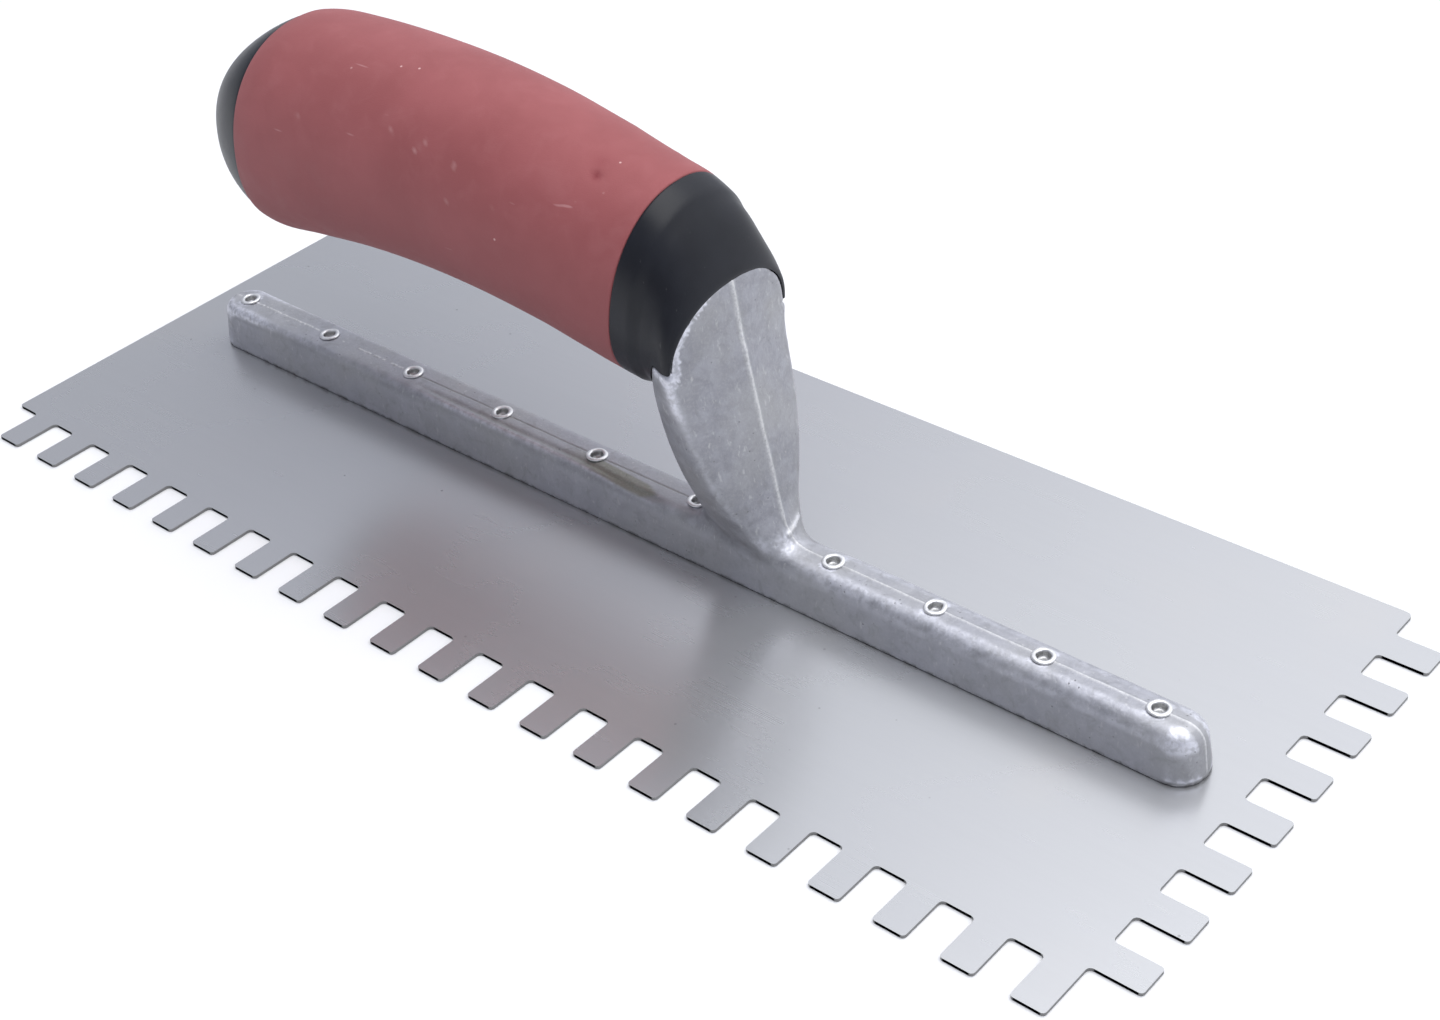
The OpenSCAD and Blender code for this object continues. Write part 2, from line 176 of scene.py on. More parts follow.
def skin(name, rings, ends="round"):
    """A closed skin over rings of equally many points. ends is round, where each end closes on a
    middle point, or loop, where the last ring joins the first."""
    n = len(rings[0])
    count = len(rings)
    points = [tuple(p * MM) for ring in rings for p in ring]
    faces = []
    for i in range(count if ends == "loop" else count - 1):
        a = i * n
        b = (i + 1) % count * n
        faces += [(a + k, a + (k + 1) % n, b + (k + 1) % n, b + k) for k in range(n)]
    if ends == "round":
        for ring, start, turn in ((rings[0], 0, -1), (rings[-1], (count - 1) * n, 1)):
            points.append(tuple(ring.mean(0) * MM))
            tip = len(points) - 1
            fan = [(start + k, start + (k + 1) % n, tip) for k in range(n)]
            faces += [f[::turn] for f in fan]
    mesh = bpy.data.meshes.new(name)
    mesh.from_pydata(points, [], faces)
    with editing(mesh) as bm:
        bmesh.ops.recalc_face_normals(bm, faces=bm.faces)
    mesh.shade_smooth()
    return add_object(name, mesh)


def coordinates(mesh):
    co = np.zeros(len(mesh.vertices) * 3)
    mesh.vertices.foreach_get("co", co)
    return co.reshape(-1, 3)


def vertex_normals(mesh):
    normal = np.zeros(len(mesh.vertices) * 3)
    mesh.vertices.foreach_get("normal", normal)
    return normal.reshape(-1, 3)


def set_coordinates(mesh, co):
    mesh.vertices.foreach_set("co", co.ravel())
    mesh.update()


def edge_pairs(mesh):
    pairs = np.zeros(len(mesh.edges) * 2, int)
    mesh.edges.foreach_get("vertices", pairs)
    return pairs.reshape(-1, 2)


def neighbour_mean(values, pairs):
    """The mean of each vertex's neighbours, for one value or one row of values per vertex."""
    count = np.bincount(pairs.ravel(), minlength=len(values))
    total = np.zeros_like(values)
    for column in range(values.shape[1]):
        v = values[:, column]
        total[:, column] = (np.bincount(pairs[:, 0], v[pairs[:, 1]], len(v))
                            + np.bincount(pairs[:, 1], v[pairs[:, 0]], len(v)))
    return total / np.maximum(count, 1)[:, None]


def relax(co, pairs, rounds, weight):
    """Laplacian smoothing; weight is one number, or one per vertex."""
    weight = np.broadcast_to(np.asarray(weight, float).reshape(-1, 1), (len(co), 1))
    for _ in range(rounds):
        co = co + weight * (neighbour_mean(co, pairs) - co)
    return co


def store(mesh, name, values):
    """Keeps one number per vertex, for a material to read."""
    attribute = mesh.attributes.new(name, "FLOAT", "POINT")
    attribute.data.foreach_set("value", np.asarray(values, np.float32))


def noise_field(co, size, seed):
    """Smooth noise from -1 to 1 at points in mm; size is that of its features."""
    shift = Vector((seed * 17.3, seed * 5.1, seed * 9.7))
    return np.array([noise.noise(Vector(p) / size + shift) for p in co])


def ease(x, low, high):
    """0 below low, 1 above high and smooth between them; low may be the higher one."""
    t = np.clip((x - low) / (high - low), 0, 1)
    return t * t * (3 - 2 * t)


def applied(obj):
    """Replaces the object's mesh with what its modifiers make of it."""
    graph = bpy.context.evaluated_depsgraph_get()
    mesh = bpy.data.meshes.new_from_object(obj.evaluated_get(graph))
    obj.modifiers.clear()
    obj.data = mesh
    return obj


def drop_flaps(mesh):
    """Deletes slivers that lie back to back on the same corners, which a boolean can leave."""
    with editing(mesh) as bm:
        bmesh.ops.remove_doubles(bm, verts=bm.verts, dist=1e-7)
        bmesh.ops.triangulate(bm, faces=bm.faces)
        by_corners = {}
        for face in bm.faces:
            by_corners.setdefault(frozenset(v.index for v in face.verts), []).append(face)
        flaps = [face for faces in by_corners.values() if len(faces) > 1 for face in faces]
        bmesh.ops.delete(bm, geom=flaps, context="FACES")


def finish_piece(obj, material, slot, *nodes):
    obj.data.materials.clear()
    obj.data.materials.append(material)
    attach(obj, "root")
    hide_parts(*nodes)
    return obj


# ---------------------------------------------------------------- materials

class Graph:
    """A short way to build the nodes of one material."""

    def __init__(self, name, **sockets):
        self.material = bpy.data.materials.new(name)
        self.material.use_nodes = True
        self.tree = self.material.node_tree
        self.shader = self.tree.nodes["Principled BSDF"]
        coordinate = self.add("ShaderNodeTexCoord")
        self.place = coordinate.outputs["Object"]
        self.normal = coordinate.outputs["Normal"]
        for socket, value in sockets.items():
            self.shader.inputs[socket.replace("_", " ")].default_value = value

    def add(self, kind, **settings):
        node = self.tree.nodes.new(kind)
        for key, value in settings.items():
            setattr(node, key, value)
        return node

    def put(self, value, socket):
        """Links an output to a socket, or sets the socket to a plain value."""
        if isinstance(value, bpy.types.NodeSocket):
            self.tree.links.new(value, socket)
        elif value is not None:
            socket.default_value = value

    def stretched(self, stretch, turn=(0, 0, 0)):
        node = self.add("ShaderNodeMapping")
        self.put(self.place, node.inputs["Vector"])
        node.inputs["Scale"].default_value = stretch
        node.inputs["Rotation"].default_value = turn
        return node.outputs["Vector"]

    def noise(self, size, detail=2.0, rough=0.5, stretch=(1, 1, 1), turn=(0, 0, 0), bend=0.0):
        """Noise from 0 to 1, its features about size mm across."""
        node = self.add("ShaderNodeTexNoise")
        self.put(self.stretched(stretch, turn), node.inputs["Vector"])
        node.inputs["Scale"].default_value = 1000 / size
        node.inputs["Detail"].default_value = detail
        node.inputs["Roughness"].default_value = rough
        node.inputs["Distortion"].default_value = bend
        return node.outputs["Fac"]

    def spots(self, size):
        """Distance to the nearest of scattered points, whose cells are about size mm across."""
        node = self.add("ShaderNodeTexVoronoi")
        self.put(self.place, node.inputs["Vector"])
        node.inputs["Scale"].default_value = 1000 / size
        return node.outputs["Distance"]

    def along(self, axis):
        """The object's own coordinate, in metres."""
        node = self.add("ShaderNodeSeparateXYZ")
        self.put(self.place, node.inputs[0])
        return node.outputs[axis]

    def facing(self, axis, absolute=False):
        """How far the surface faces the object's axis, from -1 to 1."""
        node = self.add("ShaderNodeSeparateXYZ")
        self.put(self.normal, node.inputs[0])
        value = node.outputs[axis]
        return self.math("ABSOLUTE", value) if absolute else value

    def attribute(self, name):
        return self.add("ShaderNodeAttribute", attribute_name=name).outputs["Fac"]

    def remap(self, value, low, high, to_low=0.0, to_high=1.0):
        node = self.add("ShaderNodeMapRange", interpolation_type="SMOOTHSTEP")
        self.put(value, node.inputs["Value"])
        for socket, number in (("From Min", low), ("From Max", high),
                               ("To Min", to_low), ("To Max", to_high)):
            node.inputs[socket].default_value = number
        return node.outputs["Result"]

    def math(self, operation, a, b=None):
        node = self.add("ShaderNodeMath", operation=operation)
        self.put(a, node.inputs[0])
        self.put(b, node.inputs[1])
        return node.outputs["Value"]

    def mix(self, factor, a, b):
        """Colour a where factor is 0 and b where it is 1."""
        node = self.add("ShaderNodeMix", data_type="RGBA")
        self.put(factor, node.inputs["Factor"])
        self.put(a, node.inputs["A"] if isinstance(a, bpy.types.NodeSocket) else node.inputs[6])
        self.put(b, node.inputs[7])
        return node.outputs[2]

    def bump(self, height, depth_mm):
        node = self.add("ShaderNodeBump")
        node.inputs["Strength"].default_value = 1.0
        node.inputs["Distance"].default_value = depth_mm * MM
        self.put(height, node.inputs["Height"])
        return node.outputs["Normal"]

    def out(self, **links):
        for socket, value in links.items():
            self.put(value, self.shader.inputs[socket.replace("_", " ")])
        return self.material


def grey(value, tint=(1.0, 1.0, 1.0)):
    return (value * tint[0], value * tint[1], value * tint[2], 1.0)


STEEL = (0.99, 1.0, 1.02)
ALUMINIUM = (0.975, 0.985, 1.07)


def blade_material():
    g = Graph("brushed_blade_steel", Metallic=0.72, Anisotropic=0.62)
    fine = g.noise(0.8, 2, 0.5, stretch=(0.015, 1, 1))
    broad = g.noise(2.6, 2, 0.5, stretch=(0.04, 1, 1))
    patch = g.noise(55, 2, 0.5)
    warm = g.noise(38, 2, 0.5, turn=(0, 0, 0.7))
    mark = g.remap(g.noise(4.0, 2, 0.5, stretch=(0.25, 1.6, 1), turn=(0, 0, 0.35)), 0.66, 0.8)
    speck = g.remap(g.spots(9.0), 0.035, 0.02)
    streaks = g.math("ADD", g.math("MULTIPLY", fine, 0.65), g.math("MULTIPLY", broad, 0.35))
    colour = g.mix(g.remap(streaks, 0.3, 0.7), grey(0.539, STEEL), grey(0.546, STEEL))
    colour = g.mix(g.remap(warm, 0.5, 0.75, 0, 0.3), colour, grey(0.56, (1.02, 1.0, 0.98)))
    colour = g.mix(g.math("MULTIPLY", speck, 0.5), colour, grey(0.2))
    sheared = g.remap(g.facing("Z", absolute=True), 0.75, 0.5)
    colour = g.mix(sheared, colour, grey(0.22))
    rough = g.math("ADD", g.remap(streaks, 0.25, 0.75, 0.262, 0.270),
                   g.remap(patch, 0.3, 0.7, -0.02, 0.02))
    rough = g.math("ADD", rough, g.math("MULTIPLY", sheared, 0.2))
    rough = g.math("ADD", rough, g.math("MULTIPLY", mark, 0.05))
    across = g.add("ShaderNodeCombineXYZ")
    across.inputs["Y"].default_value = 1.0
    return g.out(Base_Color=colour, Roughness=rough, Tangent=across.outputs["Vector"])


def casting_material():
    g = Graph("cast_aluminium", Metallic=0.78)
    grain = g.noise(0.5, 4, 0.6)
    mottle = g.noise(3.0, 4, 0.62, bend=0.4)
    cloud = g.noise(14, 3, 0.5)
    pits = g.remap(g.spots(1.5), 0.16, 0.05)
    pits = g.math("MULTIPLY", pits, g.remap(g.noise(6, 2), 0.5, 0.62))
    scuffs = g.remap(g.noise(0.9, 3, 0.6, stretch=(1, 1, 0.35)), 0.6, 0.74)
    edge = g.attribute("edge")
    line = g.attribute("parting_line")
    dark_lines = g.attribute("groove")
    # Painted light: side marks the beam's low flanks, all but the toe end, and top its up-facing top;
    # both are lightened towards a paler grey
    side = g.math("MULTIPLY", g.remap(g.along("Z"), 0.0095, 0.0075),
                  g.remap(g.along("X"), 0.119, 0.116))
    colour = g.mix(g.remap(mottle, 0.32, 0.68), grey(0.31, ALUMINIUM), grey(0.41, ALUMINIUM))
    top = g.math("MULTIPLY", g.remap(g.facing("Z"), 0.8, 0.95), g.remap(g.along("Z"), 0.012, 0.0112))
    lift = g.math("ADD", g.math("MULTIPLY", side, 0.4), g.math("MULTIPLY", top, 0.25))
    # Painted light on the beam's flanks and top
    colour = g.mix(lift, colour, grey(0.62, ALUMINIUM))
    colour = g.mix(g.remap(cloud, 0.35, 0.7, 0, 0.5), colour, grey(0.43, (1.0, 1.0, 1.0)))
    colour = g.mix(g.math("MULTIPLY", scuffs, 0.45), colour, grey(0.66))
    worn = g.noise(1.1, 3, 0.55)
    # Convex edges lighter and less rough: wear, and in part a painted highlight; the edge attribute
    # also holds painted highlights on the head's rim and the foot
    bright = g.math("MULTIPLY", g.remap(edge, 0.15, 0.6), g.remap(worn, 0.35, 0.6, 0.45, 1.0))
    colour = g.mix(g.math("MULTIPLY", bright, 0.85), colour, grey(0.80, ALUMINIUM))
    colour = g.mix(g.math("MULTIPLY", line, g.remap(grain, 0.3, 0.6, 0.4, 0.9)), colour, grey(0.70))
    # Darker in the trough, along the seam's groove and at the stain's rounded end
    colour = g.mix(g.math("MULTIPLY", dark_lines, 0.7), colour, grey(0.28, (0.98, 1.0, 0.9)))
    colour = g.mix(g.math("MULTIPLY", g.attribute("stain"), 0.75),
                   colour, grey(0.27, (1.0, 1.0, 0.80)))
    colour = g.mix(g.math("MULTIPLY", g.remap(grain, 0.45, 0.7), 0.08), colour, grey(0.78))
    blots = g.remap(g.noise(2.4, 4, 0.6, bend=0.8), 0.5, 0.72)
    colour = g.mix(g.math("MULTIPLY", blots, 0.32), colour, grey(0.27))
    colour = g.mix(g.math("MULTIPLY", pits, 0.6), colour, grey(0.16))
    # Painted contact shade: darker and mottled along the bottom, where the casting sits on the blade
    painted_contact_shade = g.math("MULTIPLY", g.remap(g.along("Z"), 0.0017, 0.0008),
                       g.remap(g.noise(1.6, 3), 0.4, 0.6))
    colour = g.mix(g.math("MULTIPLY", painted_contact_shade, 0.75), colour, grey(0.10, (1.0, 0.97, 0.92)))
    rough = g.remap(mottle, 0.3, 0.7, 0.5, 0.64)
    rough = g.math("SUBTRACT", rough, g.math("MULTIPLY", bright, 0.12))
    relief = g.math("ADD", g.math("MULTIPLY", grain, 0.35), mottle)
    relief = g.math("SUBTRACT", relief, g.math("MULTIPLY", pits, 0.6))
    return g.out(Base_Color=colour, Roughness=rough, Normal=g.bump(relief, 0.11))


def rivet_material():
    g = Graph("zinc_plated_rivet", Metallic=1.0)
    grain = g.noise(0.3, 3, 0.6)
    blotch = g.noise(1.1, 2, 0.5)
    hollow = g.attribute("hollow")
    colour = g.mix(g.remap(blotch, 0.35, 0.7), grey(0.72), grey(0.86))
    # Painted shade: the rivet's hollow is painted a darker grey, mottled by the grain
    colour = g.mix(g.math("MULTIPLY", hollow, g.remap(grain, 0.35, 0.65, 0.55, 1.0)),
                   colour, grey(0.42))
    rough = g.remap(blotch, 0.3, 0.7, 0.34, 0.46)
    return g.out(Base_Color=colour, Roughness=rough, Normal=g.bump(grain, 0.03))


def grip_material():
    g = Graph("dusty_red_soft_grip", Metallic=0.0, Sheen_Weight=0.08, Sheen_Roughness=0.6,
              Specular_IOR_Level=0.28)
    grain = g.noise(0.28, 4, 0.65)
    cloud = g.noise(16, 3, 0.55)
    dust = g.noise(5, 4, 0.6, bend=0.5)
    specks = g.remap(g.spots(5.5), 0.055, 0.03)
    specks = g.math("MULTIPLY", specks, g.remap(g.noise(9, 1), 0.48, 0.6))
    scratch = g.remap(g.noise(1.6, 1, 0.4, stretch=(0.14, 1, 1), turn=(0.3, 0.9, 0.5)), 0.76, 0.80)
    colour = g.mix(g.remap(cloud, 0.3, 0.7), grey(1.0, (0.286, 0.075, 0.078)),
                   grey(1.0, (0.322, 0.089, 0.093)))
    colour = g.mix(g.remap(dust, 0.42, 0.75, 0, 0.22), colour, grey(1.0, (0.40, 0.150, 0.155)))
    colour = g.mix(g.math("MULTIPLY", specks, 0.85), colour, grey(1.0, (0.72, 0.46, 0.44)))
    colour = g.mix(g.math("MULTIPLY", scratch, 0.4), colour, grey(1.0, (0.60, 0.33, 0.33)))
    # Painted shade: the red darkens on faces that turn downwards
    colour = g.mix(g.remap(g.facing("Z"), 0.4, -0.5, 0, 0.6), colour, grey(1.0, (0.20, 0.055, 0.058)))
    colour = g.mix(g.math("MULTIPLY", g.attribute("scuff"), 0.45),
                   colour, grey(1.0, (0.62, 0.38, 0.37)))
    colour = g.mix(g.attribute("dent"), colour, grey(1.0, (0.22, 0.035, 0.042)))
    rough = g.remap(dust, 0.3, 0.7, 0.62, 0.78)
    relief = g.math("ADD", grain, g.math("MULTIPLY", specks, 0.8))
    return g.out(Base_Color=colour, Roughness=rough, Normal=g.bump(relief, 0.035))


def black_material():
    g = Graph("moulded_black", Metallic=0.0, Specular_IOR_Level=0.27)
    grain = g.noise(0.22, 3, 0.6)
    cloud = g.noise(9, 3, 0.5)
    scuffs = g.remap(g.noise(0.7, 3, 0.6, stretch=(1, 1, 0.3), turn=(0.4, 0.2, 0)), 0.68, 0.8)
    colour = g.mix(g.remap(cloud, 0.3, 0.7), grey(0.009, (0.85, 0.95, 1.4)),
                   grey(0.013, (0.85, 0.95, 1.35)))
    colour = g.mix(g.math("MULTIPLY", scuffs, 0.3), colour, grey(0.11))
    rough = g.math("ADD", g.remap(cloud, 0.3, 0.7, 0.33, 0.39), g.remap(grain, 0.3, 0.7, -0.03, 0.03))
    return g.out(Base_Color=colour, Roughness=rough, Normal=g.bump(grain, 0.012))


def bolt_material():
    g = Graph("plated_bolt_steel", Metallic=1.0)
    turned = g.noise(0.4, 2, 0.5, stretch=(3, 0.3, 0.3))
    blotch = g.noise(3, 3, 0.6)
    colour = g.mix(g.remap(blotch, 0.3, 0.7), grey(0.42), grey(0.56, (1.02, 1.0, 0.95)))
    rough = g.remap(blotch, 0.3, 0.7, 0.28, 0.42)
    return g.out(Base_Color=colour, Roughness=rough, Normal=g.bump(turned, 0.02))


def core_material():
    g = Graph("moulded_core", Metallic=0.0)
    grain = g.noise(0.5, 3, 0.6)
    flow = g.noise(12, 2, 0.5, stretch=(0.4, 1, 1))
    colour = g.mix(g.remap(flow, 0.3, 0.7), grey(0.028), grey(0.042))
    return g.out(Base_Color=colour, Roughness=g.remap(flow, 0.3, 0.7, 0.5, 0.62),
                 Normal=g.bump(grain, 0.03))


# ---------------------------------------------------------------- the handle's pieces

# Radius of the outer corners where two of the handle's pieces meet
SEAM_R = 0.35
# The sleeve's finer skin lies this far inside the CAD's surface, whose facets cut its curves short
SKIN_IN = 0.01


def corner_steps(x, way, r=SEAM_R, steps=5):
    """The rounded outer corner of a piece that ends at x and lies on the way side of it: places and
    insets, from the end face to the outer surface."""
    angles = [i * math.pi / 2 / steps for i in range(steps + 1)]
    return [(x + way * r * (1 - math.cos(t)), r * (1 - math.sin(t))) for t in angles]


def dimple(co, centre, radius, depth):
    """Pushes points near centre inwards, towards the handle's middle line, by up to depth."""
    distance = np.linalg.norm(co - centre, axis=1)
    amount = depth * np.exp(-(distance / radius) ** 2)
    inward = np.stack([np.zeros(len(co)), -co[:, 1], 65 - co[:, 2]], 1)
    inward /= np.maximum(np.linalg.norm(inward, axis=1), 1e-6)[:, None]
    return co + inward * amount[:, None], amount / depth


# Marks pressed into the sleeve, in mm: centre, radius, depth, how dark it shows
DENTS = [
    ((3.6, -7.4, 79.1), 0.95, 0.42, 1.0),
    ((3.7, -6.3, 79.5), 0.45, -0.12, 0.0),
    ((2.8, -5.0, 80.2), 1.6, 0.10, 0.35),
    ((-58.0, -17.5, 70.0), 0.5, 0.12, 0.25),
    ((-33.0, 12.0, 81.0), 0.7, 0.15, 0.25),
]
# Pale scuffs on the sleeve, in mm: centre and radius
SCUFFS = [
    ((-30.6, -14.6, 78.8), 0.32), ((-32.8, -15.7, 77.1), 0.36), ((-31.7, -15.2, 77.8), 0.25),
    ((-32.2, -15.0, 78.4), 0.22), ((-23.3, -15.3, 76.5), 0.42), ((-62.8, -17.2, 76.2), 0.35),
    ((-39.4, -15.0, 79.0), 0.30), ((-38.8, -15.2, 78.7), 0.30), ((-38.2, -15.5, 78.2), 0.26),
    ((-24.4, -17.3, 70.0), 0.22), ((-13.5, -16.3, 71.3), 0.25),
]


def grip_sleeve():
    """The soft sleeve, with its dents pressed in and its scuffs kept for the material."""
    outer = np.linspace(SLEEVE_X0 + SEAM_R, SLEEVE_X1 - SEAM_R, 112)
    steps = corner_steps(SLEEVE_X0, 1) + [(x, SKIN_IN) for x in outer[1:-1]]
    steps += corner_steps(SLEEVE_X1, -1)[::-1]
    steps += [(x, SLEEVE_T) for x in np.linspace(SLEEVE_X1, SLEEVE_X0, 40)]
    obj = skin("grip_sleeve_soft", [handle_ring(x, inset) for x, inset in steps], "loop")
    co = coordinates(obj.data) / MM
    depth = np.zeros(len(co))
    for centre, radius, deep, dark in DENTS:
        co, near = dimple(co, np.array(centre), radius, deep)
        depth = np.maximum(depth, near * dark)
    set_coordinates(obj.data, co * MM)
    store(obj.data, "dent", depth)
    pale = np.zeros(len(co))
    for centre, radius in SCUFFS:
        distance = np.linalg.norm(co - np.array(centre), axis=1)
        pale = np.maximum(pale, np.exp(-(distance / radius) ** 2))
    store(obj.data, "scuff", pale)
    return finish_piece(obj, grip_material(), "soft_red", "grip_sleeve")


# How far the collar's lip reaches past the casting's seat, how wide its full band is, how far it
# necks in, and how far it flares again at the lip
LIP_RIM = 0.35
BAND = 3.6
NECK = 0.85
FLARE = 0.12
# The gap round the arm where it passes through the collar
ARM_GAP = 0.12


def collar_inset(x):
    """The collar is full next to the sleeve, then necks in, most at its sides and below, and flares
    again at its lip."""
    d = x - SLEEVE_X1
    length = LIP_X - SLEEVE_X1
    neck = NECK * float(ease(d, BAND, BAND + 2.6) * ease(d, length - 0.4, length - 4.2))
    height = np.sin(np.arange(SIDES) * 2 * math.pi / SIDES)
    neck = neck * (0.3 + 0.7 * ease(height, 0.95, 0.2))
    return neck - FLARE * float(ease(d, length - 2.6, length - 0.4))


def front_collar():
    """A tube from the sleeve to the lip, with the arm's way through it cut out. Its hidden inside is
    simpler than the CAD collar's and overlaps the core a little."""
    outer = np.linspace(SLEEVE_X1 + SEAM_R, LIP_X - 0.3, 64)
    steps = [(SLEEVE_X1, 5.0), (SLEEVE_X1, 3.0)] + corner_steps(SLEEVE_X1, 1)
    steps += [(x, collar_inset(x)) for x in outer[1:-1]]
    steps += [(x, inset - FLARE) for x, inset in corner_steps(LIP_X + LIP_RIM, -1, 0.3)[::-1]]
    steps += [(LIP_X + LIP_RIM, 0.5), (LIP_X + LIP_RIM - 0.15, 0.72), (LIP_X - 0.3, 0.8),
              (LIP_X - 0.6, 1.2), (LIP_X - 0.6, 5.0)]
    obj = skin("front_collar_moulded", [handle_ring(x, inset) for x, inset in steps], "loop")
    cutter = skin("arm_cutter", [arm_ring(z, ARM_GAP) for z in np.linspace(28, LEDGE_Z + 0.1, 30)])
    cut = obj.modifiers.new("arm", "BOOLEAN")
    cut.operation = "DIFFERENCE"
    cut.solver = "EXACT"
    cut.object = cutter
    applied(obj)
    bpy.data.objects.remove(cutter)
    drop_flaps(obj.data)
    obj.data.set_sharp_from_angle(angle=math.radians(38))
    return finish_piece(obj, black_material(), "hard_black", "front_collar")


def end_cap():
    """The rear dome, closed flat where it meets the sleeve; the CAD cap's plug and pocket are hidden
    and left out."""
    places = [SLEEVE_X0 - SEAM_R + (DOME_END_X - SLEEVE_X0 + SEAM_R) * math.sin(t)
              for t in np.linspace(0, math.pi / 2 * 0.995, 54)]
    steps = [(SLEEVE_X0, 8.0), (SLEEVE_X0, 3.0)]
    steps += [(x, inset + CAP_STEP) for x, inset in corner_steps(SLEEVE_X0, -1)]
    steps += [(x, CAP_STEP * dome_size(x)) for x in places[1:]]
    obj = skin("end_cap_moulded", [handle_ring(x, inset) for x, inset in steps])
    return finish_piece(obj, black_material(), "hard_black", "end_cap")


# ---------------------------------------------------------------- the casting

# The skin's mesh width. The export thins a piece of over 200,000 faces, which 0.42 would give
VOXEL = 0.5
# The head's rim lies this far inside the handle's surface, and the gap to the lip widens by so much at
# the top and on the far side
RIM_IN = 0.85
RIM_GAP = 0.35
# Half the width of the strip round the parting line whose mesh is refined
LINE_STRIP = 1.5


def casting_mesh():
    """A fine even skin over the CAD casting, whose rivet and bolt holes it follows only roughly."""
    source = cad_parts["mounting"].data.copy()
    with editing(source) as bm:
        bmesh.ops.remove_doubles(bm, verts=bm.verts, dist=1e-6)
    obj = add_object("mounting_cast", source)
    remesh = obj.modifiers.new("skin", "REMESH")
    remesh.mode = "VOXEL"
    remesh.voxel_size = VOXEL * MM
    return applied(obj)


def refine_middle(mesh, wanted):
    """Splits the edges near the parting line, where its relief is finer than the skin."""
    with editing(mesh) as bm:
        edges = [e for e in bm.edges if wanted[e.verts[0].index] and wanted[e.verts[1].index]]
        bmesh.ops.subdivide_edges(bm, edges=edges, cuts=2, use_grid_fill=True)
    mesh.update()


def near_rivet(co):
    """Distance to the nearest rivet's axis."""
    return np.min([np.hypot(co[:, 0] - x, co[:, 1]) for x in RIVETS_X], axis=0)


def outward(co, normal):
    """1 on the skin that shows from above and in front, 0 underneath and in the holes."""
    shown = ease(normal[:, 2] + 0.75 * normal[:, 0], 0.25, 0.6)
    return shown * ease(co[:, 2], 1.0, 3.0) * ease(near_rivet(co), 1.7, 2.0)


def line_height(co):
    """The parting line's height over the skin and its half width, which change along the casting."""
    x, z = co[:, 0], co[:, 2]
    on_arm = ease(z, 13.5, 16.5)
    waver = noise_field(co * (1, 0, 1), 2.2, 3)
    crumble = noise_field(co * (1, 0, 1), 0.9, 4)
    front = 0.15 + 0.04 * waver
    heel = 0.13 * ease(crumble, -0.15, 0.25)
    seam = -0.12 - 0.03 * waver
    rear = heel + (seam - heel) * ease(x, -66, -60)
    flat = np.where(x > 20, front, rear)
    height = (flat + (0.34 + 0.05 * crumble - flat) * on_arm) * ease(z, 61.9, 60.6)
    width = 0.22 + 0.30 * on_arm + 0.03 * waver - 0.06 * ease(x, -66, -60) * ease(x, 20, 16)
    return height, width


def face_half_width(z):
    """Half the width of the face in front of the collar, which ends in the lip's round top."""
    row = smooth_row(HANDLE, LIP_X)
    lift = min(1.0, max(0.0, (z - row[1]) / (row[2] - LIP_STEP)))
    top = (row[3] - LIP_STEP) * (1 - lift ** SQUARENESS) ** (1 / SQUARENESS)
    return min(smooth_row(ARM, z)[3], top)


def painted_rim_and_foot_highlight(co, normal):
    """1 on a painted highlight: a crumbly bright band along the face's contour, strongest on its near
    side, and a broad patch on the arm's foot.
    """
    x, y, z = co.T
    levels = np.linspace(40, 63, 120)
    half = np.interp(z, levels, [face_half_width(level) for level in levels])
    reach = half - np.abs(y)
    near_rim = ease(reach, 2.3, 1.3) * ease(z, 46, 49) * ease(normal[:, 0], 0.0, 0.4)
    crumble = 0.5 + 0.9 * noise_field(co, 0.8, 7) + 0.5 * noise_field(co, 0.35, 8)
    side = np.where(y < 0, 1.0, 0.35)
    foot = np.exp(-((x - 36) / 4.5) ** 2 - ((z - 12) / 3.0) ** 2 - ((y + 2.2) / 4.5) ** 2)
    return np.clip(near_rim * crumble * side, 0, 1) + 0.5 * foot * np.clip(0.5 + 0.6 * crumble, 0, 1)


def fitted_rim(co):
    """Draws the head's rim onto one clean curve, just within the collar's lip."""
    row = smooth_row(HANDLE, LIP_X)
    y = co[:, 1]
    up = co[:, 2] - row[1]
    station = co[:, 0] - row[4] * up
    gap = RIM_IN + RIM_GAP * np.maximum(ease(y, -6, 0), ease(up, 9.5, 12.5))
    reach = ((np.abs(y) / (row[3] - gap)) ** SQUARENESS
             + (np.abs(up) / (row[2] - gap)) ** SQUARENESS) ** (1 / SQUARENESS)
    share = ease(station, 22.9, 23.2) * ease(co[:, 2], 50.0, 50.6)
    share = share * ease(reach, 0.84, 0.93)
    scale = 1 + share * (1 / np.maximum(reach, 0.1) - 1)
    return np.stack([co[:, 0], y * scale, row[1] + up * scale], 1)


